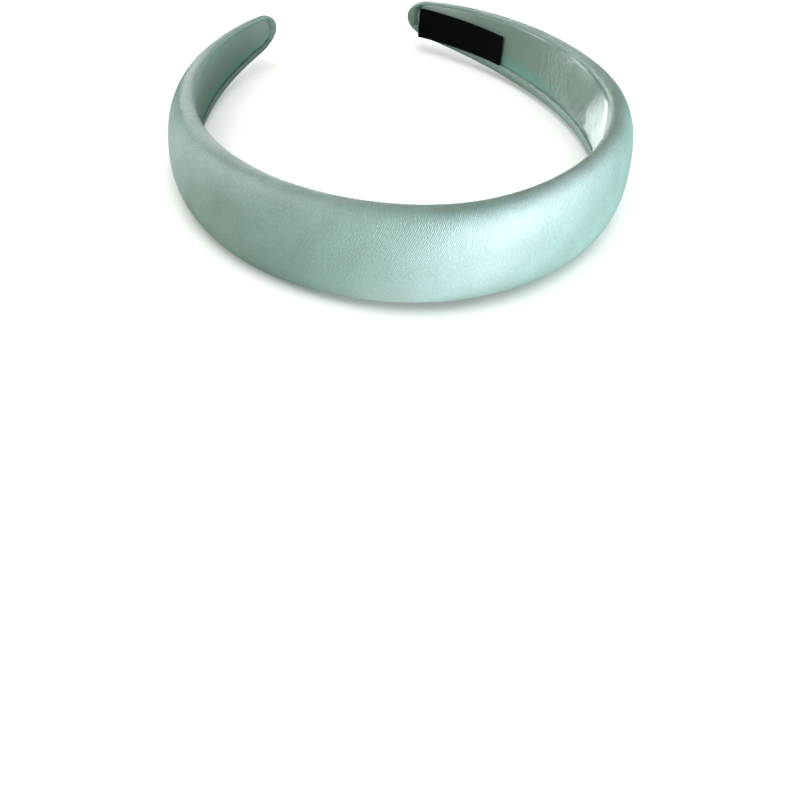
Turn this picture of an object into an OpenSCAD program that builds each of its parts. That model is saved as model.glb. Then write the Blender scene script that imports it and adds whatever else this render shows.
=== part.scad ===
// A padded headband, lying on its side: a satin cover over a foam-filled hoop that is broad and
// thick round the front and tapers to two thin arms with rounded ends. A ribbon lines its inner
// face between two rolled edges of the cover, and a small bare woven label lies near one end.
// Millimetres, +Z up. The surface it lies on is z = 0 and the front of the band faces -Y.

/* [Hoop] */
// Inside width of the hoop at its widest place
inner_width = 125; // [105:1:145]
// Inside depth of the hoop, from the front to the ends of the arms
inner_depth = 124; // [105:1:145]
// Turn of each half of the hoop, from the front to its end, before it is fitted to width and depth
half_turn = 145; // [130:1:155]

// Height of the ends of the arms above the middle of the front, before the band is laid down
end_rise = 3; // [0:0.5:6]

/* [Padding] */
// Width of the padded band round the front
band_width = 32; // [22:0.5:45]
// Thickness of the padded band round the front
band_thick = 11; // [7:0.25:18]
// Width of the arms at their ends
end_width = 11.5; // [9:0.25:16]
// Thickness of the arms at their ends
end_thick = 3.5; // [3:0.25:6]
// Length over which each end rounds off
end_round = 6.5; // [4:0.25:8]

/* [Lining] */
// Thickness of the lining ribbon
lining_thick = 1; // [0.6:0.1:1.4]
// Cover that shows above the lining, round the front
front_upper_roll = 1.6; // [1:0.1:6]
// Cover that shows below the lining, round the front
front_lower_roll = 5.5; // [2:0.1:7]
// Cover that shows above the lining, at the ends of the arms
end_upper_roll = 1.5; // [1:0.1:3]
// Cover that shows below the lining, at the ends of the arms
end_lower_roll = 2.8; // [1:0.1:4]
// Distance from the end of an arm to the end of the lining
lining_inset = 3.5; // [2.5:0.1:5]

/* [Label] */
// Length of the label along the arm
label_length = 31; // [15:1:45]
// Height of the label across the arm
label_height = 10.8; // [6:0.1:12]
// Thickness of the label
label_thick = 1; // [0.6:0.1:1.5]
// Distance from the end of the arm to the label
label_inset = 5.4; // [3:0.1:20]
// Distance of the label's middle below the middle of the arm
label_drop = 1.1; // [0:0.1:2]

/* [Fit] */
// Gap between pieces that lie against each other
fit_gap = 0.15; // [0.1:0.05:0.3]

/* [Hidden] */

satin_colour = "#9fc2b8";
lining_colour = "#7f9a8a";
label_colour = "#15161a";

// Bend of the hoop: share of the half's length, curvature as a share of that at the front
bends = [
    [0.00, 1.00],
    [0.25, 0.98],
    [0.50, 0.92],
    [0.75, 0.60],
    [1.00, 0.68]
];

// Sections of the band, in these columns
share = 0;    // place, as a share of the half's length
swell = 1;    // width, from 0 at the ends' width to 1 at the front's
fill = 2;     // thickness, from 0 at the ends' thickness to 1 at the front's
side = 3;     // height of the widest place above the inner face, as a share of the thickness
crown = 4;    // roundness of the outer face: 2 is an ellipse and more is squarer
heel = 5;     // squareness of the inner face's rolled edges
sections = [
    [0.00, 1.00, 1.00, 0.33, 2.35, 4.0],
    [0.20, 1.03, 0.82, 0.33, 2.35, 4.0],
    [0.40, 0.96, 0.78, 0.31, 2.35, 4.2],
    [0.60, 0.70, 0.68, 0.24, 2.30, 5.8],
    [0.75, 0.53, 0.40, 0.20, 2.25, 6.5],
    [0.90, 0.27, 0.06, 0.20, 2.25, 6.5],
    [1.00, 0.00, 0.00, 0.20, 2.25, 6.5]
];

path_steps = 180;       // steps in which a half of the hoop is worked out
band_steps = 44;        // stations along a half of the band, before those of its rounded end
end_steps = 7;          // stations along the rounding of an end
crown_steps = 16;       // sides of a section's outer face
roll_steps = 4;         // sides of a rolled edge's inner face
floor_steps = 4;        // sides of a section's floor under the lining
label_steps = 10;       // stations along the label
end_sliver = 0.35;      // thickness that an end keeps where its rounding closes, as a share
plain_lip = 0.6;        // end of a rolled edge past the lining, as a share of the band's half width
wall_run = 0.05;        // run of the recess's walls, which keeps its corners apart

// Sum of the values before each one, and of all of them at the end
function running_sum(values) = [
    for (i = 0, total = 0; i <= len(values); total = total + (i < len(values) ? values[i] : 0), i = i + 1)
        total
];

// The centre line of the inner face, for one half: a curve that turns as the bends say, fitted to
// the inside width and depth. Each step's bend is taken at its middle.
step_bends = [for (i = [0 : path_steps - 1]) lookup((i + 0.5) / path_steps, bends)];
bend_sums = running_sum(step_bends);
headings = [
    for (i = [0 : path_steps - 1])
        half_turn * (bend_sums[i] + step_bends[i] / 2) / bend_sums[path_steps]
];
raw_x = running_sum([for (a = headings) cos(a)]);
raw_y = running_sum([for (a = headings) sin(a)]);
fit_x = inner_width / 2 / max(raw_x);
fit_y = inner_depth / max(raw_y);
path = [for (i = [0 : path_steps]) [raw_x[i] * fit_x, raw_y[i] * fit_y]];
runs = running_sum([for (i = [0 : path_steps - 1]) norm(path[i + 1] - path[i])]);
half_length = runs[path_steps];
x_table = [for (i = [0 : path_steps]) [runs[i], path[i].x]];
y_table = [for (i = [0 : path_steps]) [runs[i], path[i].y]];
heading_table = [
    for (i = [0 : path_steps - 1])
        let (step = path[i + 1] - path[i])
        [(runs[i] + runs[i + 1]) / 2, atan2(step.y, step.x)]
];

// A column of the sections at a place, eased through the rows
function row_before(s, i = 0) =
    i >= len(sections) - 2 || s < sections[i + 1][share] ? i : row_before(s, i + 1);
function rate(column, i) =
    let (
        before = sections[max(i - 1, 0)],
        after = sections[min(i + 1, len(sections) - 1)]
    )
    i == 0 ? 0 : (after[column] - before[column]) / (after[share] - before[share]);
function eased(column, s) =
    let (
        i = row_before(s),
        a = sections[i],
        b = sections[i + 1],
        h = b[share] - a[share],
        t = (s - a[share]) / h,
        rise = t * t * (3 - 2 * t)
    )
    a[column] * (1 - rise) + b[column] * rise
    + rate(column, i) * h * t * (1 - t) * (1 - t) - rate(column, i + 1) * h * t * t * (1 - t);

// Sizes of the band at a distance d from the front along the centre line, either way
function share_at(d) = min(abs(d) / half_length, 1);
function closing(d) =
    let (e = (abs(d) - half_length + end_round) / end_round)
    e <= 0 ? 1 : sqrt(max(1 - e * e, 0));
function band_width_at(d) =
    (end_width + (band_width - end_width) * eased(swell, share_at(d))) * closing(d);
function band_thick_at(d) =
    (end_thick + (band_thick - end_thick) * eased(fill, share_at(d)))
    * (end_sliver + (1 - end_sliver) * closing(d));
function upper_roll_at(d) =
    end_upper_roll + (front_upper_roll - end_upper_roll) * eased(swell, share_at(d));
function lower_roll_at(d) =
    end_lower_roll + (front_lower_roll - end_lower_roll) * eased(swell, share_at(d));
function lining_top(d) = band_width_at(d) / 2 - upper_roll_at(d);
function lining_foot(d) = lower_roll_at(d) - band_width_at(d) / 2;

// A point at a distance along the centre line, out from the inner face and across the band
function on_band(d, out, across) =
    let (
        run = abs(d),
        hand = d < 0 ? -1 : 1,
        a = lookup(run, heading_table)
    )
    [
        hand * (lookup(run, x_table) + out * sin(a)),
        lookup(run, y_table) - out * cos(a),
        across + end_rise * pow(share_at(d), 2)
    ];

// Part of a superellipse: how far one axis reaches where the other is at a share of its own
function reach(part, power) = pow(max(1 - pow(min(abs(part), 1), power), 0), 1 / power);

// One section of the band, as [out, across] points: the outer face from the lower edge to the
// upper one, the upper rolled edge, the recess for the lining and the lower rolled edge
recess_reach = half_length - lining_inset + fit_gap;
function section(d) =
    let (
        half = band_width_at(d) / 2,
        thick = band_thick_at(d),
        widest = eased(side, share_at(d)) * thick,
        power = eased(crown, share_at(d)),
        square = eased(heel, share_at(d)),
        lined = abs(d) <= recess_reach,
        recess_top = lined ? lining_top(d) + fit_gap : half * plain_lip,
        recess_foot = lined ? lining_foot(d) - fit_gap : -half * plain_lip,
        deep = lined ? lining_thick + fit_gap : 0
    )
    concat(
        [
            for (i = [0 : crown_steps])
                let (a = 180 * i / crown_steps, c = cos(a))
                [
                    widest + (thick - widest) * pow(max(sin(a), 0), 2 / power),
                    -half * sign(c) * pow(abs(c), 2 / power)
                ]
        ],
        [
            for (i = [1 : roll_steps])
                let (v = recess_top + (half - recess_top) * (1 - pow(i / roll_steps, 2)))
                [widest * (1 - reach(v / half, square)), v]
        ],
        [
            for (i = [0 : floor_steps])
                let (
                    top = recess_top - wall_run,
                    foot = recess_foot + wall_run,
                    v = top + (foot - top) * i / floor_steps
                )
                [max(widest * (1 - reach(v / half, square)), deep), v]
        ],
        [
            for (i = [roll_steps : -1 : 1])
                let (v = recess_foot - (half + recess_foot) * (1 - pow(i / roll_steps, 2)))
                [widest * (1 - reach(v / half, square)), v]
        ]
    );

// Distances of the stations along one half: even ones and those of the rounded end, to which the
// band adds the two at the recess's end wall
body_reach = half_length - end_round;
half_stations = concat(
    [for (i = [1 : band_steps]) body_reach * i / band_steps],
    [for (i = [1 : end_steps - 1]) body_reach + end_round * sin(90 * i / end_steps)]
);
function sorted_with(list, extra) =
    concat([for (v = list) if (v < extra) v], [extra], [for (v = list) if (v > extra) v]);
band_half = sorted_with(sorted_with(half_stations, recess_reach), recess_reach + wall_run);
function both_ways(half) =
    concat([for (i = [len(half) - 1 : -1 : 0]) -half[i]], [0], half);
band_rings = [for (d = both_ways(band_half)) [for (p = section(d)) on_band(d, p[0], p[1])]];
end_point = on_band(half_length, band_thick_at(half_length) / 2, 0);

// Lining: stations shared with the band as far as its ends, which are cut square
lining_reach = half_length - lining_inset;
lining_half = concat([for (d = half_stations) if (d < lining_reach) d], [lining_reach]);

// A closed strip of rings along the hoop, with a flat face at each end or drawn to a point there
module strip(rings, points = []) {
    sides = len(rings[0]);
    last = len(rings) - 1;
    all = concat([for (ring = rings) for (p = ring) p], points);
    wall = [
        for (i = [0 : last - 1])
            for (j = [0 : sides - 1])
                let (k = (j + 1) % sides, a = i * sides, b = a + sides)
                for (face = [[a + j, a + k, b + j], [a + k, b + k, b + j]]) face
    ];
    first_end = (last + 1) * sides;
    caps = len(points) == 0
        ? [[for (j = [sides - 1 : -1 : 0]) j], [for (j = [0 : sides - 1]) last * sides + j]]
        : [
            for (j = [0 : sides - 1])
                let (k = (j + 1) % sides)
                for (face = [[first_end, k, j], [first_end + 1, last * sides + j, last * sides + k]]) face
        ];
    polyhedron(points = all, faces = concat(wall, caps));
}

// One ring of a ribbon that lies along the inner face, between two depths and two heights
function ribbon_ring(d, inner, outer, foot, top) = [
    on_band(d, outer, foot),
    on_band(d, outer, top),
    on_band(d, inner, top),
    on_band(d, inner, foot)
];

// Lying on its side, the band leans until its lower edge meets the surface on both sides of its
// balance: the pair of places on the edge whose line runs lowest there carries it.
edge_places = [
    for (d = concat([0], half_stations))
        let (p = on_band(d, eased(side, share_at(d)) * band_thick_at(d), -band_width_at(d) / 2))
        [p.y, p.z]
];
slices = [for (i = [0 : band_steps - 1]) half_length * (i + 0.5) / band_steps];
weights = [for (d = slices) band_width_at(d) * band_thick_at(d)];
balance = [for (d = slices) on_band(d, band_thick_at(d) / 2, 0).y] * weights
    / ([for (w = weights) 1] * weights);
pairs = [
    for (a = edge_places)
        if (a[0] < balance)
            for (b = edge_places)
                if (b[0] >= balance)
                    let (slope = (b[1] - a[1]) / (b[0] - a[0]))
                    [a[1] + slope * (balance - a[0]), slope]
];
lowest = min([for (p = pairs) p[0]]);
lean = atan([for (p = pairs) if (p[0] == lowest) p[1]][0]);
leant = [
    for (ring = band_rings)
        for (p = ring)
            [p.y * cos(lean) + p.z * sin(lean), p.z * cos(lean) - p.y * sin(lean)]
];
rest_z = min([for (p = leant) p[1]]);
rest_y = (min([for (p = leant) p[0]]) + max([for (p = leant) p[0]])) / 2;
module lying_down() {
    translate([0, -rest_y, -rest_z])
        rotate([-lean, 0, 0])
            children();
}

module padded_band() {
    color(satin_colour)
        lying_down()
            strip(band_rings, [[-end_point.x, end_point.y, end_point.z], end_point]);
}

module inner_lining() {
    color(lining_colour)
        lying_down()
            strip([
                for (d = both_ways(lining_half))
                    ribbon_ring(d, 0, lining_thick, lining_foot(d), lining_top(d))
            ]);
}

module label() {
    far = half_length - label_inset;
    stations = [for (i = [0 : label_steps]) far - label_length * (1 - i / label_steps)];
    color(label_colour)
        lying_down()
            strip([
                for (d = stations)
                    ribbon_ring(
                        d, -fit_gap - label_thick, -fit_gap,
                        -label_drop - label_height / 2, label_height / 2 - label_drop
                    )
            ]);
}

padded_band();
inner_lining();
label();
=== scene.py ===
# A padded satin headband, lying on its side on a pale table.
# Sizes are worked out in millimetres and the meshes are made in metres.
import math

import bpy
import numpy as np
from mathutils import Matrix, Vector


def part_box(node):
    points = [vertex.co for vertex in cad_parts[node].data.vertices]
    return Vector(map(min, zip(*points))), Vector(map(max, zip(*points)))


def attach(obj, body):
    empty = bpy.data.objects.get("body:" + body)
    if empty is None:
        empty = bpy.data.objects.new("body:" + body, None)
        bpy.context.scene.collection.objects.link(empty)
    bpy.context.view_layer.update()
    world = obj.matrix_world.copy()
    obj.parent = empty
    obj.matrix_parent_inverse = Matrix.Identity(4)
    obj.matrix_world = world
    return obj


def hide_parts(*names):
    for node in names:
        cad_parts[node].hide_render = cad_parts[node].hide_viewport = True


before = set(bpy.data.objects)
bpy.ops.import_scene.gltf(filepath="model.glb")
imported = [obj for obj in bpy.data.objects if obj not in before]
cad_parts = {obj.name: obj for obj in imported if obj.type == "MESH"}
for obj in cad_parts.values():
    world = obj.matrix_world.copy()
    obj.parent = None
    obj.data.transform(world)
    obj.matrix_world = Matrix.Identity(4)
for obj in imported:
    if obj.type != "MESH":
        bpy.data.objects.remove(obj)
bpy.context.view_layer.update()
mm = 0.001
print("frame loaded:", sorted(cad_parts))

# Camera: turned and raised as the photograph sees the band
view = {
    "turn": -22.07,             # degrees round the band, 0 looks along +Y
    "height": 44.75,            # degrees above the table
    "roll": 7.18,               # degrees
    "distance": 521.2,          # mm from the aim to the camera
    "aim": (0, 0, 15),          # mm
    "slide": (-0.55, -82.38),   # mm that the camera stands right of and above the aim's line
    "lens": 76.35,              # mm
    "sensor": 36,               # mm
    "sees": (0.01, 20),         # m, nearest and farthest
}


def makeCamera(v):
    turn, height, roll = (math.radians(v[k]) for k in ("turn", "height", "roll"))
    back = Vector((
        math.sin(turn) * math.cos(height), -math.cos(turn) * math.cos(height), math.sin(height)
    ))
    side = (-back).cross(Vector((0, 0, 1))).normalized()
    rise = side.cross(-back)
    across = side * math.cos(roll) + rise * math.sin(roll)
    upward = rise * math.cos(roll) - side * math.sin(roll)
    data = bpy.data.cameras.new("camera")
    data.lens, data.sensor_width = v["lens"], v["sensor"]
    data.clip_start, data.clip_end = v["sees"]
    cam = bpy.data.objects.new("camera", data)
    place = Vector(v["aim"]) + across * v["slide"][0] + upward * v["slide"][1] + back * v["distance"]
    turned = Matrix((across, upward, back)).transposed().to_4x4()
    cam.matrix_world = Matrix.Translation(place * mm) @ turned
    bpy.context.collection.objects.link(cam)
    bpy.context.scene.camera = cam


makeCamera(view)
print("camera set")


# Adds a node with its settings; an input is given a value or another node's socket
def addNode(tree, kind, inputs=None, **settings):
    node = tree.nodes.new(kind)
    for name, value in settings.items():
        setattr(node, name, value)
    for name, value in (inputs or {}).items():
        socket = node.inputs[name]
        if isinstance(value, bpy.types.NodeSocket):
            tree.links.new(value, socket)
        else:
            socket.default_value = value
    return node


def linear(hexColour):
    parts = [int(hexColour[i:i + 2], 16) / 255 for i in (1, 3, 5)]
    return [c / 12.92 if c <= 0.04045 else ((c + 0.055) / 1.055) ** 2.4 for c in parts] + [1]


# Hoop: the line along the middle of the band's inner face
hoop = {
    "innerWidth": 125,
    "innerDepth": 124,
    "halfTurn": 145,        # degrees, before the line is fitted to width and depth
    "endRise": 3,           # the ends stand this much above the front's middle
    "steps": 1800,          # steps in which a half is worked out
    # share of the half's length, and curvature against that at the front
    "bends": [(0, 1), (0.25, 0.98), (0.5, 0.92), (0.75, 0.6), (1, 0.68)],
    "slices": 44,           # in which it is weighed, to find how it leans
    "fitStations": 1401,    # places along and around it that are compared with the frame's box
    "fitSides": 181,
}
# Padding: the band's sections along the hoop
padding = {
    "bandWidth": 32,
    "bandThick": 11,
    "endWidth": 11.5,
    "endThick": 3.5,
    "endRound": 6.5,        # length over which an end rounds off
    "endSliver": 0.35,      # share of its thickness that an end keeps
    # share of the half's length, then width, thickness, height of the widest place,
    # roundness of the outer face and squareness of the inner face's edges
    "rows": [
        (0.00, 1.00, 1.00, 0.33, 2.35, 4.0),
        (0.20, 1.03, 0.82, 0.33, 2.35, 4.0),
        (0.40, 0.96, 0.78, 0.31, 2.35, 4.2),
        (0.60, 0.70, 0.68, 0.24, 2.30, 5.8),
        (0.75, 0.53, 0.40, 0.20, 2.25, 6.5),
        (0.90, 0.27, 0.06, 0.20, 2.25, 6.5),
        (1.00, 0.00, 0.00, 0.20, 2.25, 6.5),
    ],
}
# Ribbon that lines the inner face
ribbon = {
    "thick": 0.8,
    "upperRoll": (1.5, 1.6),    # cover that shows above it, at the ends and at the front
    "lowerRoll": (2.8, 5.5),    # cover that shows below it, at the ends and at the front
    "inset": 3.5,               # from an arm's end
    "endRound": 3,
    "stationGap": 0.8,
    "endStations": 6,
    "sides": 14,
    "edgeSquare": 12,
    "sink": 0.05,               # of its face below the rolled edges' line
    "tuck": 0.08,               # how far its upper edge turns in
    "tuckWidth": 2.4,
    "under": 0.25,              # how far that edge runs on under the roll
    "rippleDepth": 0.18,
    "ripple": 1.2,
    "tealShare": 0.4,           # of its width, from the lower edge, over which it turns teal
    "tealMost": 0.9,            # how much of that colour there is at the edge
    "tealFrom": (106, 128),     # distance from the front over which it begins
    "crinkleFrom": (70, 88),    # distance from the front over which the crinkles begin
    "crinkleTo": (136, 106),    # and over which they fade
    "plainShare": 0.1,          # share of them elsewhere
    "leftShare": 0.3,           # and on the other arm
    "edgeLevel": -0.24,         # how far out from its face the loops stand
    "edgeLean": (0.5, 1),       # they point this far in for this far down
    "loopGap": 1.3,
    "loopRadius": 0.42,
    "yarn": 0.17,
}


def makeLine(h):
    share, bend = np.array(h["bends"], float).T
    stepBend = np.interp((np.arange(h["steps"]) + 0.5) / h["steps"], share, bend)
    turned = np.concatenate([[0], np.cumsum(stepBend)])
    heading = math.radians(h["halfTurn"]) * (turned[:-1] + stepBend / 2) / turned[-1]
    x = np.concatenate([[0], np.cumsum(np.cos(heading))])
    y = np.concatenate([[0], np.cumsum(np.sin(heading))])
    x *= h["innerWidth"] / 2 / x.max()
    y *= h["innerDepth"] / y.max()
    run = np.concatenate([[0], np.cumsum(np.hypot(np.diff(x), np.diff(y)))])
    return {
        "run": run, "x": x, "y": y,
        "middle": (run[1:] + run[:-1]) / 2,
        "heading": np.arctan2(np.diff(y), np.diff(x)),
    }


line = makeLine(hoop)
halfLength = line["run"][-1]


# A column of the padding's rows at a share of the half's length
def eased(column, share):
    rows = np.array(padding["rows"])
    at, value = rows[:, 0], rows[:, column]
    rate = np.zeros(len(at))
    rate[1:-1] = (value[2:] - value[:-2]) / (at[2:] - at[:-2])
    rate[-1] = (value[-1] - value[-2]) / (at[-1] - at[-2])
    i = np.clip(np.searchsorted(at, share, side="right") - 1, 0, len(at) - 2)
    h = at[i + 1] - at[i]
    t = (share - at[i]) / h
    rise = t * t * (3 - 2 * t)
    return (
        value[i] * (1 - rise) + value[i + 1] * rise
        + rate[i] * h * t * (1 - t) ** 2 - rate[i + 1] * h * t * t * (1 - t)
    )


def between(pair, t):
    return pair[0] + (pair[1] - pair[0]) * t


# Sizes of the section at distances d from the front, either way along the line
def sizesAt(d):
    p = padding
    share = np.minimum(np.abs(d) / halfLength, 1)
    ending = np.maximum((np.abs(d) - halfLength) / p["endRound"] + 1, 0)
    closing = np.sqrt(np.maximum(1 - ending ** 2, 0))
    swell = eased(1, share)
    half = between((p["endWidth"], p["bandWidth"]), swell) * closing / 2
    thick = between((p["endThick"], p["bandThick"]), eased(2, share))
    thick = thick * between((p["endSliver"], 1), closing)
    return {
        "half": half,
        "thick": thick,
        "widest": eased(3, share) * thick,
        "crown": eased(4, share),
        "heel": eased(5, share),
        "top": half - between(ribbon["upperRoll"], swell),
        "foot": between(ribbon["lowerRoll"], swell) - half,
    }


# Points at distances d along the line, out from the inner face and across the band
def onHoop(d, out, across):
    run, hand = np.abs(d), np.where(d < 0, -1, 1)
    heading = np.interp(run, line["middle"], line["heading"])
    x = hand * (np.interp(run, line["run"], line["x"]) + out * np.sin(heading))
    y = np.interp(run, line["run"], line["y"]) - out * np.cos(heading)
    z = across + hoop["endRise"] * (run / halfLength) ** 2
    return np.stack(np.broadcast_arrays(x, y, z), -1)


# Lying on its side, the band leans until its lower edge carries it on both sides of its balance
def findLean():
    n = hoop["slices"]
    middles = halfLength * (np.arange(n) + 0.5) / n
    s = sizesAt(middles)
    weight = s["half"] * s["thick"]
    balance = (onHoop(middles, s["thick"] / 2, 0)[:, 1] * weight).sum() / weight.sum()
    places = (halfLength - padding["endRound"]) * np.arange(n + 1) / n
    s = sizesAt(places)
    edge = onHoop(places, s["widest"], -s["half"])[:, 1:]
    before, after = edge[edge[:, 0] < balance], edge[edge[:, 0] >= balance]
    step = after[None] - before[:, None]
    slope = step[..., 1] / step[..., 0]
    height = before[:, None, 1] + slope * (balance - before[:, None, 0])
    return math.atan(slope.flat[height.argmin()])


lean = findLean()


def leant(points):
    c, s = math.cos(lean), math.sin(lean)
    return np.stack([
        points[..., 0],
        points[..., 1] * c + points[..., 2] * s,
        points[..., 2] * c - points[..., 1] * s,
    ], -1)


# The outer face of a section, out and across, at turns from 0 at its lower edge to pi at its upper
def outerFace(s, turn):
    power = 2 / s["crown"]
    out = s["widest"] + (s["thick"] - s["widest"]) * np.sin(turn) ** power
    return out, -s["half"] * np.sign(np.cos(turn)) * np.abs(np.cos(turn)) ** power


# How far the leant band moves to lie where the frame has it
def findShift():
    low = np.array(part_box("padded_band")[0]) / mm
    d = np.linspace(-halfLength, halfLength, hoop["fitStations"])[:, None]
    out, across = outerFace(sizesAt(d), np.linspace(0, math.pi, hoop["fitSides"])[None])
    plain = leant(onHoop(d, out, across)).reshape(-1, 3)
    return low - plain.min(0)


shift = findShift() * (0, 1, 1)


def placed(d, out, across):
    return (leant(onHoop(d, out, across)) + shift) * mm


print(f"hoop laid down, leaning {math.degrees(lean):.2f} degrees")

# Cover: satin drawn over the foam, with its edges rolled in beside the ribbon
cover = {
    "stationGap": 0.8,
    "endStations": 12,
    "crownSides": 26,
    "upperSides": 9,
    "lowerSides": 11,
    "floorSides": 6,
    "fineSteps": 80,        # in which a ring's faces are worked out before they are evened
    "floorSteps": 20,
    "plainLip": 0.6,        # reach of the floor past the ribbon, as a share of the half width
    "floorDepth": 1.35,     # of the cloth below the ribbon
    "upperCrease": 0.14,    # width of the creases beside the ribbon
    "lowerCrease": 0.32,
    "puff": 0.07,           # how much a rolled edge stands proud, as a share of its width
    "slack": 0.15,          # how far inside the padding the cloth starts
    "give": 0.62,           # how far the pressure may move it
    "proud": 0.12,          # how far it may then stand outside the padding
    "slip": 0.25,           # share that it keeps of its slide along the padding
    "endHeld": 5,           # length at each end over which it comes free
    "simScale": 20,         # the cloth is blown up at this many times its size
    "pressure": 1.6,
    "quality": 6,
    "stiffness": (12, 4, 1),    # against stretch, shear and bending
    "frames": 20,
    "gatherFrom": (20, 60),     # distance from the front over which the cross folds begin
    "gatherTo": (125, 95),      # and over which they fade
    "upperGather": (0.6, 0.0),  # how far up the outer face they start, at the front and at a bend
    "upperFull": 0.95,          # and where they are deepest
    "lowerGather": 0.72,        # how far down it they start
    "plainGather": 0.5,         # share of them elsewhere
    "bias": 68,             # degrees from the hoop to the slant along which the satin gleams
}


def evenly(points, sides):
    step = np.linalg.norm(np.diff(points, axis=0), axis=1)
    length = np.concatenate([[0], np.cumsum(step)])
    at = np.linspace(0, length[-1], sides + 1)
    return np.stack([np.interp(at, length, points[:, k]) for k in range(2)], -1)


def sectionAt(d):
    return {k: float(v) for k, v in sizesAt(d).items()}


# How far out the band's inner face lies, across a section
def innerFace(s, across):
    share = np.minimum(np.abs(across) / s["half"], 1)
    return s["widest"] * (1 - (1 - share ** s["heel"]) ** (1 / s["heel"]))


# One ring of the cover, as [out, across] from the middle of its floor and round the outside
def coverRing(d):
    c, s = cover, sectionAt(d)
    half, fine = s["half"], np.linspace(0, 1, c["fineSteps"])
    lined = np.clip((halfLength - ribbon["inset"] - abs(d)) / c["stationGap"] + 1, 0, 1)
    top, foot = s["top"], s["foot"]
    if lined == 0:
        top, foot = half * c["plainLip"], -half * c["plainLip"]

    def roll(start, end, crease):
        v = start + (end - start) * np.sin(fine * math.pi / 2)
        away, width = np.abs(v - start), abs(end - start)
        dip = lined * c["floorDepth"] * np.exp(-(away / crease) ** 2)
        puff = lined * c["puff"] * width * np.sin(math.pi * away / width)
        return np.stack([innerFace(s, v) + dip - puff, v], -1)

    crown = np.stack(outerFace(s, fine * math.pi), -1)
    middle, steps = (top + foot) / 2, c["floorSteps"]
    under = [np.linspace(middle, foot, steps), np.linspace(top, middle, steps)]
    under = [np.stack([innerFace(s, v) + lined * c["floorDepth"], v], -1) for v in under]
    return np.concatenate([
        evenly(under[0], c["floorSides"] // 2)[:-1],
        evenly(roll(foot, -half, c["lowerCrease"]), c["lowerSides"])[:-1],
        evenly(crown, c["crownSides"])[:-1],
        evenly(roll(top, half, c["upperCrease"])[::-1], c["upperSides"])[:-1],
        evenly(under[1], c["floorSides"] // 2),
    ])


def bothWays(half):
    half = np.array(half)
    return np.concatenate([-half[::-1], [0], half])


# Stations along a strip that rounds off at both ends
def stations(reach, rounding, gap, endSteps):
    body = reach - rounding
    count = round(body / gap)
    turn = math.pi / 2 * np.arange(1, endSteps) / endSteps
    even = body * np.arange(1, count + 1) / count
    return bothWays(np.concatenate([even, body + rounding * np.sin(turn)]))


# A closed shell from rings that hold their first point again at the end, with a pole at each end
def makeShell(name, rings, poles, cloth):
    count, sides = rings.shape[0], rings.shape[1] - 1
    points = np.concatenate([rings[:, :-1].reshape(-1, 3), poles])
    faces, corners = [], []
    for i in range(count - 1):
        for j in range(sides):
            k = (j + 1) % sides
            faces.append((i * sides + j, (i + 1) * sides + j, (i + 1) * sides + k, i * sides + k))
            corners += [cloth[i, j], cloth[i + 1, j], cloth[i + 1, j + 1], cloth[i, j + 1]]
    last = (count - 1) * sides
    for j in range(sides):
        k = (j + 1) % sides
        faces.append((len(points) - 2, j, k))
        corners += [cloth[0, j], cloth[0, j], cloth[0, j + 1]]
        faces.append((len(points) - 1, last + k, last + j))
        corners += [cloth[-1, j], cloth[-1, j + 1], cloth[-1, j]]
    mesh = bpy.data.meshes.new(name)
    mesh.from_pydata(points.tolist(), [], faces)
    layer = mesh.uv_layers.new(name="cloth")
    layer.data.foreach_set("uv", np.array(corners, np.float32).ravel())
    mesh.polygons.foreach_set("use_smooth", [True] * len(faces))
    mesh.update()
    piece = bpy.data.objects.new(name, mesh)
    bpy.context.collection.objects.link(piece)
    return piece


def meshPoints(mesh):
    co = np.zeros(len(mesh.vertices) * 3, np.float32)
    mesh.vertices.foreach_get("co", co)
    return co.reshape(-1, 3).astype(float)


def meshNormals(mesh):
    normal = np.zeros(len(mesh.vertices) * 3, np.float32)
    mesh.vertex_normals.foreach_get("vector", normal)
    return normal.reshape(-1, 3).astype(float)


def setPoints(mesh, points):
    mesh.vertices.foreach_set("co", points.astype(np.float32).ravel())
    mesh.update()


# Sets an attribute of a shell from its rings' values and those at its two poles
def setAttribute(mesh, name, values, poles=(0, 0)):
    attribute = mesh.attributes.new(name, "FLOAT", "POINT")
    attribute.data.foreach_set("value", np.concatenate([values.ravel(), poles]).astype(np.float32))


# Smooth step from 0 at low to 1 at high
def smooth(low, high, x):
    t = np.clip((x - low) / (high - low), 0, 1)
    return t * t * (3 - 2 * t)


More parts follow.
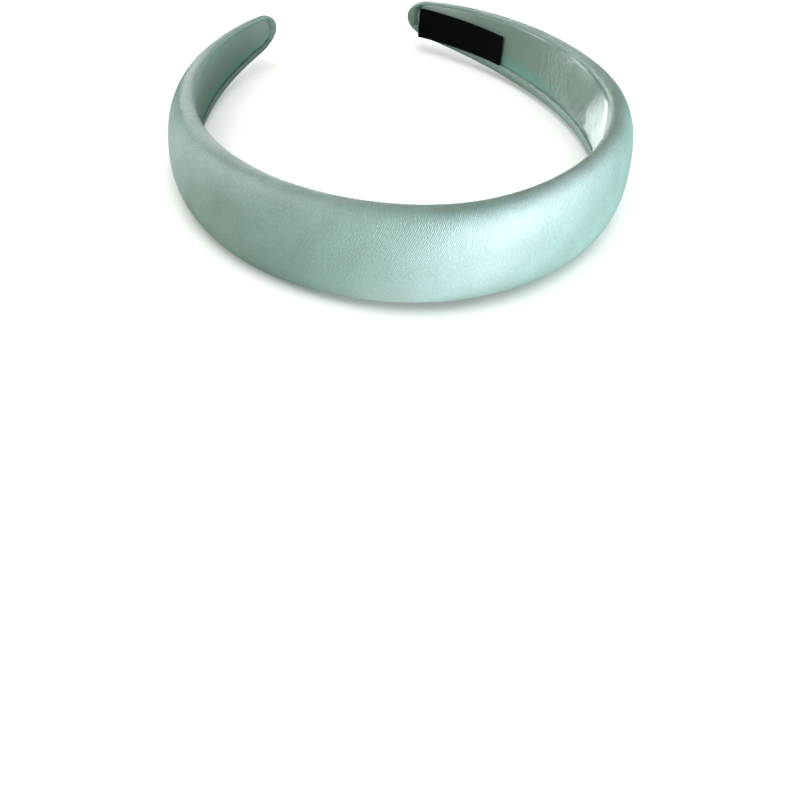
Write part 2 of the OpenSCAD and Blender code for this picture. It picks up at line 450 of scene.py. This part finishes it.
def makeCover():
    c = cover
    d = stations(halfLength, padding["endRound"], c["stationGap"], c["endStations"])
    rings = np.stack([coverRing(x) for x in d])
    places = placed(d[:, None], rings[..., 0], rings[..., 1])
    pole = placed(np.array([-halfLength, halfLength]), sizesAt(np.array(halfLength))["thick"] / 2, 0)
    step = np.linalg.norm(np.diff(rings, axis=1), axis=2)
    around = np.concatenate([np.zeros((len(d), 1)), np.cumsum(step, axis=1)], axis=1)
    around -= around[:, -1:] / 2
    turn = math.radians(c["bias"])
    along = np.broadcast_to(d[:, None], around.shape)
    cloth = np.stack([
        along * math.cos(turn) + around * math.sin(turn),
        around * math.cos(turn) - along * math.sin(turn),
    ], -1) * mm
    piece = makeShell("satin_cover", places, pole, cloth)
    mesh = piece.data
    sides = rings.shape[1] - 1
    index = np.arange(sides)
    floor = c["floorSides"] // 2
    free = smooth(floor, floor + c["lowerSides"], index)
    free *= smooth(floor, floor + c["upperSides"], sides - index)
    free = free[None] * smooth(0, c["endHeld"], halfLength - np.abs(d))[:, None]
    setAttribute(mesh, "along", along[:, :-1], (-halfLength, halfLength))
    setAttribute(mesh, "around", around[:, :-1])
    setAttribute(mesh, "free", free)
    place = ((index - floor - c["lowerSides"]) / c["crownSides"] * 2 - 1)[None]
    bend = (smooth(*c["gatherFrom"], np.abs(d)) * smooth(*c["gatherTo"], np.abs(d)))[:, None]
    upper = smooth(between(c["upperGather"], bend), c["upperFull"], place)
    upper = upper * between((c["plainGather"], 1), bend)
    lower = smooth(c["lowerGather"], 1, -place) * between((1, c["plainGather"]), bend)
    setAttribute(mesh, "gather", np.where(place < 0, lower, upper) * free)
    return piece, np.concatenate([free.ravel(), [0, 0]])


# Blows the cover up as cloth held where it is glued, and eases how far it moves towards a cap
def inflate(piece, free):
    c = cover
    mesh = piece.data
    full, outward = meshPoints(mesh), meshNormals(mesh)
    start = full - outward * (c["slack"] * free)[:, None] * mm
    setPoints(mesh, start * c["simScale"])
    held = piece.vertex_groups.new(name="held")
    for i, value in enumerate(1 - free):
        held.add([i], float(value), "REPLACE")
    cloth = piece.modifiers.new("cloth", "CLOTH")
    s = cloth.settings
    s.quality = c["quality"]
    s.tension_stiffness, s.shear_stiffness, s.bending_stiffness = c["stiffness"]
    s.compression_stiffness = s.tension_stiffness
    s.use_pressure, s.uniform_pressure_force = True, c["pressure"]
    s.vertex_group_mass = "held"
    s.effector_weights.gravity = 0
    cloth.collision_settings.use_collision = False
    cloth.point_cache.frame_start, cloth.point_cache.frame_end = 1, c["frames"]
    scene = bpy.context.scene
    for f in range(1, c["frames"] + 1):
        scene.frame_set(f)
    blown = piece.evaluated_get(bpy.context.evaluated_depsgraph_get()).to_mesh()
    moved = meshPoints(blown) / c["simScale"] - start
    piece.modifiers.remove(cloth)
    piece.vertex_groups.remove(held)
    scene.frame_set(1)
    far = np.linalg.norm(moved, axis=1)
    print(f"cover blown up: {far.mean() / mm:.2f} mm on average, {far.max() / mm:.2f} mm at most")
    give = c["give"] * mm
    moved *= (give * (1 - np.exp(-far / give)) / np.maximum(far, 1e-12))[:, None]
    rise = (moved * outward).sum(1)[:, None] * outward
    blown = start + rise + c["slip"] * (moved - rise)
    proud = ((blown - full) * outward).sum(1) - c["proud"] * mm
    blown -= outward * np.maximum(proud, 0)[:, None]
    blown[:, 2] = np.minimum(blown[:, 2], full[:, 2] + c["proud"] * mm)
    setPoints(mesh, blown)


satinCover, coverFree = makeCover()
inflate(satinCover, coverFree)


# Starts a Geometry Nodes tree with named inputs, as (name, kind, value)
def startTree(name, inputs):
    tree = bpy.data.node_groups.new(name, "GeometryNodeTree")
    tree.interface.new_socket("Geometry", in_out="INPUT", socket_type="NodeSocketGeometry")
    for label, kind, value in inputs:
        socket = tree.interface.new_socket(label, in_out="INPUT", socket_type="NodeSocket" + kind)
        if value is not None:
            socket.default_value = value
    tree.interface.new_socket("Geometry", in_out="OUTPUT", socket_type="NodeSocketGeometry")
    return tree, addNode(tree, "NodeGroupInput").outputs


def endTree(tree, geometry, material):
    real = addNode(tree, "GeometryNodeRealizeInstances", {"Geometry": geometry})
    painted = addNode(tree, "GeometryNodeSetMaterial", {
        "Geometry": real.outputs["Geometry"], "Material": material,
    })
    addNode(tree, "NodeGroupOutput", {"Geometry": painted.outputs["Geometry"]})


# Adds the tree to a piece, with its inputs set by their sockets' identifiers
def useTree(piece, tree, values):
    modifier = piece.modifiers.new(tree.name, "NODES")
    modifier.node_group = tree
    for socket in tree.interface.items_tree:
        if socket.in_out == "INPUT" and socket.name in values:
            modifier[socket.identifier] = values[socket.name]


def addSmoother(piece):
    smoother = piece.modifiers.new("smoother", "SUBSURF")
    smoother.levels = smoother.render_levels = 1


# Turns what a piece's modifiers make into its own plain mesh
def settle(piece):
    shown = piece.evaluated_get(bpy.context.evaluated_depsgraph_get())
    mesh = bpy.data.meshes.new_from_object(shown)
    mesh.name = piece.name
    piece.modifiers.clear()
    piece.data = mesh


# Small folds that run across the hoop where the cloth is drawn in, and a softer unevenness
def makeGatherTree():
    tree, given = startTree("crossGathers", [
        ("Spacing", "Float", 1.0), ("Depth", "Float", 0.05), ("Stretch", "Float", 8.0),
        ("Swell Spacing", "Float", 12.0), ("Swell Depth", "Float", 0.05), ("Swell Stretch", "Float", 1.5),
        ("Seed", "Float", 0.0), ("Material", "Material", None),
    ])
    held = {
        name: addNode(tree, "GeometryNodeInputNamedAttribute", {"Name": name}).outputs["Attribute"]
        for name in ("along", "around", "gather", "free")
    }
    place = addNode(tree, "ShaderNodeCombineXYZ", {"X": held["along"], "Y": held["around"]})
    height = 0.0
    for kind, weight in (("", held["gather"]), ("Swell ", held["free"])):
        length = addNode(tree, "ShaderNodeMath", {
            0: given[kind + "Spacing"], 1: given[kind + "Stretch"],
        }, operation="MULTIPLY")
        size = addNode(tree, "ShaderNodeCombineXYZ", {
            "X": given[kind + "Spacing"], "Y": length.outputs[0], "Z": 1.0,
        })
        scaled = addNode(tree, "ShaderNodeVectorMath", {
            0: place.outputs[0], 1: size.outputs[0],
        }, operation="DIVIDE")
        noise = addNode(tree, "ShaderNodeTexNoise", {
            "Vector": scaled.outputs[0], "W": given["Seed"], "Scale": 1.0, "Detail": 1.0,
        }, noise_dimensions="4D")
        level = addNode(tree, "ShaderNodeMath", {0: noise.outputs[0], 1: 0.5}, operation="SUBTRACT")
        depth = addNode(tree, "ShaderNodeMath", {0: given[kind + "Depth"], 1: weight}, operation="MULTIPLY")
        height = addNode(tree, "ShaderNodeMath", {
            0: level.outputs[0], 1: depth.outputs[0], 2: height,
        }, operation="MULTIPLY_ADD").outputs[0]
    rise = addNode(tree, "ShaderNodeMath", {0: height, 1: 2 * mm}, operation="MULTIPLY")
    normal = addNode(tree, "GeometryNodeInputNormal")
    lift = addNode(tree, "ShaderNodeVectorMath", {
        0: normal.outputs["Normal"], "Scale": rise.outputs[0],
    }, operation="SCALE")
    moved = addNode(tree, "GeometryNodeSetPosition", {
        "Geometry": given["Geometry"], "Offset": lift.outputs["Vector"],
    })
    endTree(tree, moved.outputs["Geometry"], given["Material"])
    return tree


# Uneven pattern on a piece's cloth, with these lengths in mm across and along its floats
def clothNoise(tree, lengths, **inputs):
    uv = addNode(tree, "ShaderNodeUVMap", uv_map="cloth")
    scaled = addNode(tree, "ShaderNodeVectorMath", {
        0: uv.outputs["UV"], 1: (1 / (lengths[0] * mm), 1 / (lengths[1] * mm), 1),
    }, operation="MULTIPLY")
    noise = addNode(tree, "ShaderNodeTexNoise", {"Vector": scaled.outputs[0], "Scale": 1.0, **inputs})
    return noise.outputs[0]


def blendColours(tree, factor, low, high):
    mix = addNode(tree, "ShaderNodeMix", {"Factor": factor}, data_type="RGBA")
    mix.inputs[6].default_value, mix.inputs[7].default_value = linear(low), linear(high)
    return mix.outputs[2]


def newMaterial(name):
    material = bpy.data.materials.new(name)
    material.use_nodes = True
    material.node_tree.nodes.clear()
    return material, material.node_tree


# Fine folds across the hoop, where a piece's own attribute says that its cloth is drawn in
def gatherHeight(tree, spacing, length):
    held = {
        name: addNode(tree, "ShaderNodeAttribute", attribute_name=name).outputs["Fac"]
        for name in ("along", "around", "gather")
    }
    place = addNode(tree, "ShaderNodeCombineXYZ", {"X": held["along"], "Y": held["around"]})
    scaled = addNode(tree, "ShaderNodeVectorMath", {
        0: place.outputs[0], 1: (1 / spacing, 1 / length, 1),
    }, operation="MULTIPLY")
    noise = addNode(tree, "ShaderNodeTexNoise", {"Vector": scaled.outputs[0], "Scale": 1.0, "Detail": 2.0})
    height = addNode(tree, "ShaderNodeMath", {0: noise.outputs[0], 1: held["gather"]}, operation="MULTIPLY")
    return height.outputs[0]


# Scale at which a wave's bands lie this many mm apart
def ribScale(spacing):
    return 2 * math.pi / (20 * spacing * mm)


# Polyester satin, piece-dyed and woven with long floats. They lie side by side like fine bright
# threads, so a light is drawn out into a slanting sheen, and fine steep ribs show.
def makeSatin():
    material, tree = newMaterial("polyesterSatinMint")
    shade = clothNoise(tree, (14, 9), Detail=2.0)
    grain = clothNoise(tree, (1.1, 0.4), Detail=3.0, Roughness=0.7)
    uv = addNode(tree, "ShaderNodeUVMap", uv_map="cloth")
    ribs = addNode(tree, "ShaderNodeTexWave", {
        "Vector": uv.outputs["UV"], "Scale": ribScale(0.5), "Distortion": 1.2,
        "Detail": 1.0, "Detail Scale": 0.1,
    }, wave_type="BANDS", bands_direction="Y")    # a rib each 0.5 mm, as floats of 0.1 mm are too fine
    weave = addNode(tree, "ShaderNodeBump", {
        "Height": ribs.outputs[0], "Strength": 0.7, "Distance": 0.05 * mm,
    })
    slubs = addNode(tree, "ShaderNodeBump", {
        "Height": grain, "Strength": 0.9, "Distance": 0.16 * mm, "Normal": weave.outputs["Normal"],
    })
    folds = addNode(tree, "ShaderNodeBump", {
        "Height": gatherHeight(tree, 0.6, 5), "Strength": 0.8, "Distance": 0.35 * mm,
        "Normal": slubs.outputs["Normal"],
    })
    mottle = addNode(tree, "ShaderNodeMath", {0: grain, 1: 2.4, 2: shade}, operation="MULTIPLY_ADD")
    tint = addNode(tree, "ShaderNodeMath", {
        0: ribs.outputs[0], 1: 0.35, 2: mottle.outputs[0],
    }, operation="MULTIPLY_ADD")
    level = addNode(tree, "ShaderNodeMath", {0: tint.outputs[0], 1: 1.1, 2: -1.56}, operation="MULTIPLY_ADD")
    tangent = addNode(tree, "ShaderNodeTangent", direction_type="UV_MAP", uv_map="cloth")
    shader = addNode(tree, "ShaderNodeBsdfPrincipled", {
        "Base Color": blendColours(tree, level.outputs[0], "#92b2a5", "#afd6ca"),
        "IOR": 2.3,
        "Specular IOR Level": 0.7,
        "Roughness": 0.4,
        "Anisotropic": 1.0,
        "Tangent": tangent.outputs["Tangent"],
        "Normal": folds.outputs["Normal"],
    })
    addNode(tree, "ShaderNodeOutputMaterial", {"Surface": shader.outputs["BSDF"]})
    return material


# Satin ribbon, warp-faced: its floats run along it, so its sheen lies straight across. It is
# crushed into fine crinkles on the inside of the bends.
def makeRibbonSatin():
    material, tree = newMaterial("satinRibbonSage")
    shade = clothNoise(tree, (6, 12), Detail=2.0)
    ribs = clothNoise(tree, (0.45, 6), Detail=2.0)
    crinkle = addNode(tree, "ShaderNodeBump", {
        "Height": gatherHeight(tree, 0.45, 3), "Strength": 1.0, "Distance": 0.35 * mm,
    })
    weave = addNode(tree, "ShaderNodeBump", {
        "Height": ribs, "Strength": 0.4, "Distance": 0.05 * mm, "Normal": crinkle.outputs["Normal"],
    })
    edge = addNode(tree, "ShaderNodeAttribute", attribute_name="lowEdge")
    teal = addNode(tree, "ShaderNodeMath", {
        0: edge.outputs["Fac"], 1: ribbon["tealMost"],
    }, operation="MULTIPLY")
    mix = addNode(tree, "ShaderNodeMix", {"Factor": teal.outputs[0]}, data_type="RGBA")
    tree.links.new(blendColours(tree, shade, "#86a396", "#97b5a8"), mix.inputs[6])
    mix.inputs[7].default_value = linear("#7accba")
    tangent = addNode(tree, "ShaderNodeTangent", direction_type="UV_MAP", uv_map="cloth")
    shader = addNode(tree, "ShaderNodeBsdfPrincipled", {
        "Base Color": mix.outputs[2],
        "IOR": 2.3,
        "Specular IOR Level": 0.7,
        "Roughness": 0.33,
        "Anisotropic": 1.0,
        "Tangent": tangent.outputs["Tangent"],
        "Normal": weave.outputs["Normal"],
    })
    addNode(tree, "ShaderNodeOutputMaterial", {"Surface": shader.outputs["BSDF"]})
    return material


# Filament yarn of the ribbon's woven edge: round and glossy, so each loop catches a glint; its pale,
# near-white colour also paints in part of those glints
def makeEdgeYarn():
    material, tree = newMaterial("filamentYarnPaintedGlint")
    twist = clothNoise(tree, (0.3, 0.3), Detail=1.0)
    shader = addNode(tree, "ShaderNodeBsdfPrincipled", {
        # pale aqua to near white: the yarn's tint with painted glints laid over it
        "Base Color": blendColours(tree, twist, "#bfe8de", "#f4fffc"),
        "Roughness": 0.2,
    })
    addNode(tree, "ShaderNodeOutputMaterial", {"Surface": shader.outputs["BSDF"]})
    return material


# Black taffeta label, woven flat from fine polyester: nearly matt, with close ribs along it
def makeLabelTaffeta():
    material, tree = newMaterial("wovenTaffetaBlack")
    uv = addNode(tree, "ShaderNodeUVMap", uv_map="cloth")
    ribs = addNode(tree, "ShaderNodeTexWave", {
        "Vector": uv.outputs["UV"], "Scale": ribScale(0.5), "Distortion": 0.6, "Detail": 1.0,
    }, wave_type="BANDS", bands_direction="X")    # one rib each 0.5 mm, twice the real yarn
    shade = clothNoise(tree, (0.5, 3), Detail=3.0)
    bump = addNode(tree, "ShaderNodeBump", {
        "Height": ribs.outputs[0], "Strength": 0.4, "Distance": 0.04 * mm,
    })
    shader = addNode(tree, "ShaderNodeBsdfPrincipled", {
        "Base Color": blendColours(tree, shade, "#020203", "#08090b"),
        "Roughness": 0.7,
        "Specular IOR Level": 0.12,
        "Normal": bump.outputs["Normal"],
    })
    addNode(tree, "ShaderNodeOutputMaterial", {"Surface": shader.outputs["BSDF"]})
    return material


satin = makeSatin()
crossGathers = makeGatherTree()


def finishCover(piece):
    addSmoother(piece)
    useTree(piece, crossGathers, {
        "Spacing": 1.0, "Depth": 0.12, "Stretch": 9.0, "Swell Spacing": 11.0, "Swell Depth": 0.1,
        "Seed": 3.0, "Material": satin,
    })
    settle(piece)
    points = meshPoints(piece.data)
    points[:, 2] = np.maximum(points[:, 2], 0)    # flattened where it rests on the table
    setPoints(piece.data, points)


finishCover(satinCover)
print("cover made:", len(satinCover.data.polygons), "faces")


# A strip's ring, down its inner face and back up behind it, as [out, across]
def stripRing(sides, square, low, high, middle, thick):
    place = np.sin(np.linspace(-math.pi / 2, math.pi / 2, sides + 1))
    across = (low + high) / 2 + (high - low) / 2 * place
    body = thick / 2 * (1 - np.abs(place) ** square) ** (1 / square)
    centre = middle(across)
    down, up = np.stack([centre - body, across], -1), np.stack([centre + body, across], -1)
    return np.concatenate([down[:0:-1], up])


# A strip laid along the hoop, and how far each of its points is inside its two edges, from 0 to 1
def makeStrip(name, d, rings, ends):
    places = placed(d[:, None], rings[..., 0], rings[..., 1])
    along = np.broadcast_to(d[:, None], rings.shape[:2])
    piece = makeShell(name, places, ends, np.stack([rings[..., 1], along], -1) * mm)
    mesh = piece.data
    low, high = rings[..., 1].min(1, keepdims=True), rings[..., 1].max(1, keepdims=True)
    inside = 1 - (2 * (rings[..., 1] - low) / (high - low) - 1) ** 4
    setAttribute(mesh, "along", along[:, :-1], (d[0], d[-1]))
    setAttribute(mesh, "around", rings[:, :-1, 1])
    return piece, inside[:, :-1]


# Height of a strip's ends that close over their rounding
def closingAt(d, reach, rounding):
    return np.sqrt(np.maximum(1 - (np.maximum(np.abs(d) - reach + rounding, 0) / rounding) ** 2, 0))


# How far the ribbon's face lies below the rolled edges' line; its upper edge curves in
def tucked(s, across):
    near = np.maximum(1 - (s["top"] - across) / ribbon["tuckWidth"], 0)
    return ribbon["sink"] + ribbon["tuck"] * near ** 2


# The ribbon is laid along the inner face and crinkles where the hoop bends most
def makeRibbon():
    r = ribbon
    reach = halfLength - r["inset"]
    d = stations(reach, r["endRound"], r["stationGap"], r["endStations"])
    closing = closingAt(d, reach, r["endRound"])
    rings, width = [], []
    for x, shut in zip(d, closing):
        s = sectionAt(x)
        high = s["top"] + r["under"]
        middle, half = (high + s["foot"]) / 2, (high - s["foot"]) / 2
        rings.append(stripRing(
            r["sides"], r["edgeSquare"], middle - half * shut, middle + half * shut,
            lambda v, s=s: innerFace(s, v) + tucked(s, v) + r["thick"] / 2, r["thick"],
        ))
        width.append(2 * half * shut)
    s = sectionAt(reach)
    ends = placed(np.array([-reach, reach]), r["sink"] + r["thick"] / 2, (s["top"] + s["foot"]) / 2)
    piece, inside = makeStrip("ribbon_lining", d, np.stack(rings), ends)
    bend = smooth(*r["crinkleFrom"], np.abs(d)) * smooth(*r["crinkleTo"], np.abs(d))
    bend = r["plainShare"] + (1 - r["plainShare"]) * bend * np.where(d > 0, 1, r["leftShare"])
    setAttribute(piece.data, "gather", inside * bend[:, None])
    setAttribute(piece.data, "free", inside)
    across = np.stack(rings)[:, :-1, 1]
    low, high = across.min(1, keepdims=True), across.max(1, keepdims=True)
    edge = smooth(r["tealShare"], 0, (across - low) / (high - low))
    setAttribute(piece.data, "lowEdge", edge * smooth(*r["tealFrom"], np.abs(d))[:, None])
    addSmoother(piece)
    useTree(piece, crossGathers, {
        "Spacing": r["ripple"], "Depth": r["rippleDepth"], "Stretch": 5.0, "Swell Spacing": 9.0,
        "Swell Depth": 0.06, "Seed": 8.0, "Material": ribbonSatin,
    })
    settle(piece)
    area = float((np.array(width[1:]) + width[:-1]) @ np.diff(d)) / 2
    return piece, max(width), 2 * reach, area


# Small loops of yarn that stand along a woven edge
def makeLoopTree():
    tree, given = startTree("edgeLoops", [
        ("Spacing", "Float", 0.9), ("Loop Radius", "Float", 0.3), ("Yarn", "Float", 0.14),
        ("Unevenness", "Float", 0.3), ("Seed", "Int", 0), ("Material", "Material", None),
    ])
    sized = {
        name: addNode(tree, "ShaderNodeMath", {0: given[name], 1: mm}, operation="MULTIPLY").outputs[0]
        for name in ("Spacing", "Loop Radius", "Yarn")
    }
    path = addNode(tree, "GeometryNodeMeshToCurve", {"Mesh": given["Geometry"]})
    points = addNode(tree, "GeometryNodeResampleCurve", {
        "Curve": path.outputs["Curve"], "Length": sized["Spacing"],
    }, mode="LENGTH")
    loop = addNode(tree, "GeometryNodeCurveArc", {
        "Resolution": 7, "Radius": sized["Loop Radius"], "Start Angle": 0.0, "Sweep Angle": math.pi,
    })
    section = addNode(tree, "GeometryNodeCurvePrimitiveCircle", {"Resolution": 5, "Radius": sized["Yarn"]})
    yarn = addNode(tree, "GeometryNodeCurveToMesh", {
        "Curve": loop.outputs["Curve"], "Profile Curve": section.outputs["Curve"], "Fill Caps": True,
    })
    tangent = addNode(tree, "GeometryNodeInputTangent")
    outward = addNode(tree, "GeometryNodeInputNamedAttribute", {"Name": "outward"}, data_type="FLOAT_VECTOR")
    lengthwise = addNode(tree, "FunctionNodeAlignRotationToVector", {
        "Vector": tangent.outputs["Tangent"],
    }, axis="X")
    turned = addNode(tree, "FunctionNodeAlignRotationToVector", {
        "Rotation": lengthwise.outputs["Rotation"], "Vector": outward.outputs["Attribute"],
    }, axis="Y", pivot_axis="X")
    least = addNode(tree, "ShaderNodeMath", {0: 1.0, 1: given["Unevenness"]}, operation="SUBTRACT")
    most = addNode(tree, "ShaderNodeMath", {0: 1.0, 1: given["Unevenness"]}, operation="ADD")
    size = addNode(tree, "FunctionNodeRandomValue", {
        2: least.outputs[0], 3: most.outputs[0], "Seed": given["Seed"],
    }, data_type="FLOAT")
    loops = addNode(tree, "GeometryNodeInstanceOnPoints", {
        "Points": points.outputs["Curve"], "Instance": yarn.outputs["Mesh"],
        "Rotation": turned.outputs["Rotation"], "Scale": size.outputs[1],
    })
    endTree(tree, loops.outputs["Instances"], given["Material"])
    return tree


# The ribbon's lower edge, as the path of its loops
def makeRibbonEdge():
    r = ribbon
    reach = halfLength - r["inset"] - r["endRound"]
    d = np.linspace(-reach, reach, round(2 * reach / r["stationGap"]))
    sections = [sectionAt(x) for x in d]
    foot = np.array([s["foot"] for s in sections])
    level = np.array([innerFace(s, s["foot"]) for s in sections]) + r["sink"] + r["edgeLevel"]
    inward, down = r["edgeLean"]
    points, away = placed(d, level, foot), placed(d, level - inward, foot - down)
    mesh = bpy.data.meshes.new("ribbon_edge")
    mesh.from_pydata(points.tolist(), [(i, i + 1) for i in range(len(d) - 1)], [])
    mesh.attributes.new("outward", "FLOAT_VECTOR", "POINT").data.foreach_set(
        "vector", ((away - points) / mm).astype(np.float32).ravel())
    piece = bpy.data.objects.new("ribbon_edge", mesh)
    bpy.context.collection.objects.link(piece)
    useTree(piece, edgeLoops, {
        "Spacing": r["loopGap"], "Loop Radius": r["loopRadius"], "Yarn": r["yarn"],
        "Unevenness": 0.3, "Seed": 4, "Material": edgeYarn,
    })
    settle(piece)
    return piece


ribbonSatin, edgeYarn = makeRibbonSatin(), makeEdgeYarn()
ribbonLining, ribbonWidth, ribbonLength, ribbonArea = makeRibbon()
edgeLoops = makeLoopTree()
ribbonEdge = makeRibbonEdge()
print("ribbon laid:", len(ribbonLining.data.polygons), "faces, its edge", len(ribbonEdge.data.polygons))

# Label: a bare woven tab with its ends turned in, near the end of the +X arm
tab = {
    "length": 31.3,
    "height": 10.8,
    "inset": 4.4,           # from the arm's end
    "drop": 1.1,            # of its middle below the arm's middle
    "back": -0.25,          # how far out its back and face lie
    "face": -0.80,
    "turnedIn": 3,          # length turned in at each end
    "turnedEase": 0.5,      # over which it thickens there, either way
    "turnedThick": 0.15,
    "endRound": 0.3,
    "stationGap": 0.5,
    "endStations": 4,
    "sides": 16,
    "edgeSquare": 24,
}


def makeLabel():
    t = tab
    middle = halfLength - t["inset"] - t["length"] / 2
    reach = t["length"] / 2
    d = stations(reach, t["endRound"], t["stationGap"], t["endStations"])
    closing = closingAt(d, reach, t["endRound"])
    rings = []
    for x, shut in zip(d, closing):
        fold = smooth(t["turnedIn"] + t["turnedEase"], t["turnedIn"] - t["turnedEase"], reach - abs(x))
        face = t["face"] - t["turnedThick"] * fold
        rings.append(stripRing(
            t["sides"], t["edgeSquare"], -t["height"] / 2 - t["drop"], t["height"] / 2 - t["drop"],
            lambda v, face=face: np.full_like(v, (face + t["back"]) / 2), (t["back"] - face) * shut,
        ))
    depth = (t["face"] - t["turnedThick"] + t["back"]) / 2
    ends = placed(middle + np.array([-reach, reach]), depth, -t["drop"])
    piece, inside = makeStrip("label_tab", middle + d, np.stack(rings), ends)
    setAttribute(piece.data, "gather", inside)
    setAttribute(piece.data, "free", inside)
    addSmoother(piece)
    useTree(piece, crossGathers, {
        "Spacing": 1.4, "Depth": 0.015, "Stretch": 4.0, "Swell Spacing": 8.0, "Swell Depth": 0.05,
        "Seed": 5.0, "Material": labelTaffeta,
    })
    settle(piece)
    return piece


labelTaffeta = makeLabelTaffeta()
labelTab = makeLabel()
print("label made:", len(labelTab.data.polygons), "faces")

# Table and light
studio = {
    "tableSize": 4,         # m
    "table": "#f4f4f2",
    "tableLift": 0.95,      # light that falls on the table alone, as from a lit sheet
    "liftSpread": 60,       # degrees that it spreads over
    "world": "#eafde0",
    "worldStrength": 0.23,  # from below, as over a bright backdrop
    "skyShare": 0.1,        # of it that comes from above
    "distance": 1.2,        # m from the band to each softbox
    # degrees round from the +X side, degrees up, width and height in degrees, strength, colour
    "softboxes": [
        (264, 6, 24, 14, 0.02, "#ddfff8"),
        (280, 6, 8, 14, 0.10, "#eaf2ff"),
        (288, 6, 24, 14, 0.20, "#eaf2ff"),
        (296, 6, 8, 14, 0.50, "#eef2ff"),
        (312, 6, 24, 14, 0.60, "#f0f3ff"),
        (336, 6, 24, 14, 0.14, "#e8f2ff"),
        (352, 20, 10, 14, 0.14, "#f2f8ff"),
        (60, 22, 30, 18, 0.08, "#fbffeb"),
        (88, 9, 10, 14, 0.28, "#ffffff"),
        (141, 9, 8, 18, 0.22, "#f8ffff"),
        (160, 28, 8, 16, 0.14, "#f9fdff"),
        (180, 43, 36, 24, 0.20, "#ffffff"),
        (180, 68, 44, 28, 0.06, "#fff2d8"),
        (208, 20, 12, 24, 0.09, "#fffcf0"),
        (240, 6, 24, 14, 0.03, "#fffbe0"),
    ],
    # and the same for the two that make the ribbon gleam at the right bend: they reach it alone,
    # from below, as a bright backdrop would
    "ribbonBoxes": [
        (97, -28, 3, 16, 0.28, "#f4fffd"),
        (132, -28, 9, 16, 0.06, "#f0fffa"),
    ],
}


def makeTable():
    half = studio["tableSize"] / 2
    mesh = bpy.data.meshes.new("table")
    corners = [(-half, -half, 0), (half, -half, 0), (half, half, 0), (-half, half, 0)]
    mesh.from_pydata(corners, [], [(0, 1, 2, 3)])
    table = bpy.data.objects.new("table", mesh)
    bpy.context.collection.objects.link(table)
    material = bpy.data.materials.new("mattPaintedTable")
    material.use_nodes = True
    shader = material.node_tree.nodes["Principled BSDF"]
    shader.inputs["Base Color"].default_value = linear(studio["table"])
    shader.inputs["Roughness"].default_value = 0.9
    mesh.materials.append(material)
    table.visible_diffuse = table.visible_glossy = False    # it throws no light up at the band
    data = bpy.data.lights.new("table_light", "SUN")
    data.energy = studio["tableLift"] * math.pi
    data.angle = math.radians(studio["liftSpread"])
    light = bpy.data.objects.new("table_light", data)
    bpy.context.collection.objects.link(light)
    shineOnly(light, [table])


# A softbox faces the band; its strength is the light that reaches the band
def makeSoftbox(number, turn, height, wide, tall, strength, colour):
    away = studio["distance"]
    data = bpy.data.lights.new(f"softbox_{number}", "AREA")
    data.shape = "RECTANGLE"
    data.size = 2 * away * math.tan(math.radians(wide / 2))
    data.size_y = 2 * away * math.tan(math.radians(tall / 2))
    data.energy = strength * (math.pi * away) ** 2
    data.color = linear(colour)[:3]
    box = bpy.data.objects.new(data.name, data)
    turn, height = math.radians(turn), math.radians(height)
    level = math.cos(height)
    towards = Vector((math.cos(turn) * level, math.sin(turn) * level, math.sin(height)))
    facing = towards.to_track_quat("Z", "Y").to_matrix().to_4x4()
    box.matrix_world = Matrix.Translation(towards * away) @ facing
    box.visible_camera = False
    bpy.context.collection.objects.link(box)
    return box


# Makes a light reach these pieces alone
def shineOnly(light, pieces):
    reached = bpy.data.collections.new(light.name + "_only")
    for piece in pieces:
        reached.objects.link(piece)
    light.light_linking.receiver_collection = reached
    return reached


makeTable()
for number, values in enumerate(studio["softboxes"]):
    makeSoftbox(number + 1, *values)
for number, values in enumerate(studio["ribbonBoxes"]):
    box = makeSoftbox(f"ribbon_{number + 1}", *values)
    box.visible_diffuse = False    # it gives gloss alone
    # and the rest of the band doesn't stand in its way
    box.light_linking.blocker_collection = shineOnly(box, [ribbonLining, ribbonEdge])
world = bpy.data.worlds.new("studio")
world.use_nodes = True
backdrop = world.node_tree.nodes["Background"]
backdrop.inputs["Color"].default_value = linear(studio["world"])
direction = addNode(world.node_tree, "ShaderNodeTexCoord")
upness = addNode(world.node_tree, "ShaderNodeSeparateXYZ", {"Vector": direction.outputs["Generated"]})
fromBelow = addNode(world.node_tree, "ShaderNodeMapRange", {
    "Value": upness.outputs["Z"], "From Min": -0.05, "From Max": 0.1,
    "To Min": studio["worldStrength"], "To Max": studio["worldStrength"] * studio["skyShare"],
})
world.node_tree.links.new(fromBelow.outputs["Result"], backdrop.inputs["Strength"])
bpy.context.scene.world = world
bpy.context.scene.view_settings.view_transform = "Standard"

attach(satinCover, "root")
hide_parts("padded_band")
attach(ribbonLining, "root")
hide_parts("inner_lining")
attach(ribbonEdge, "root")
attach(labelTab, "root")
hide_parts("label")
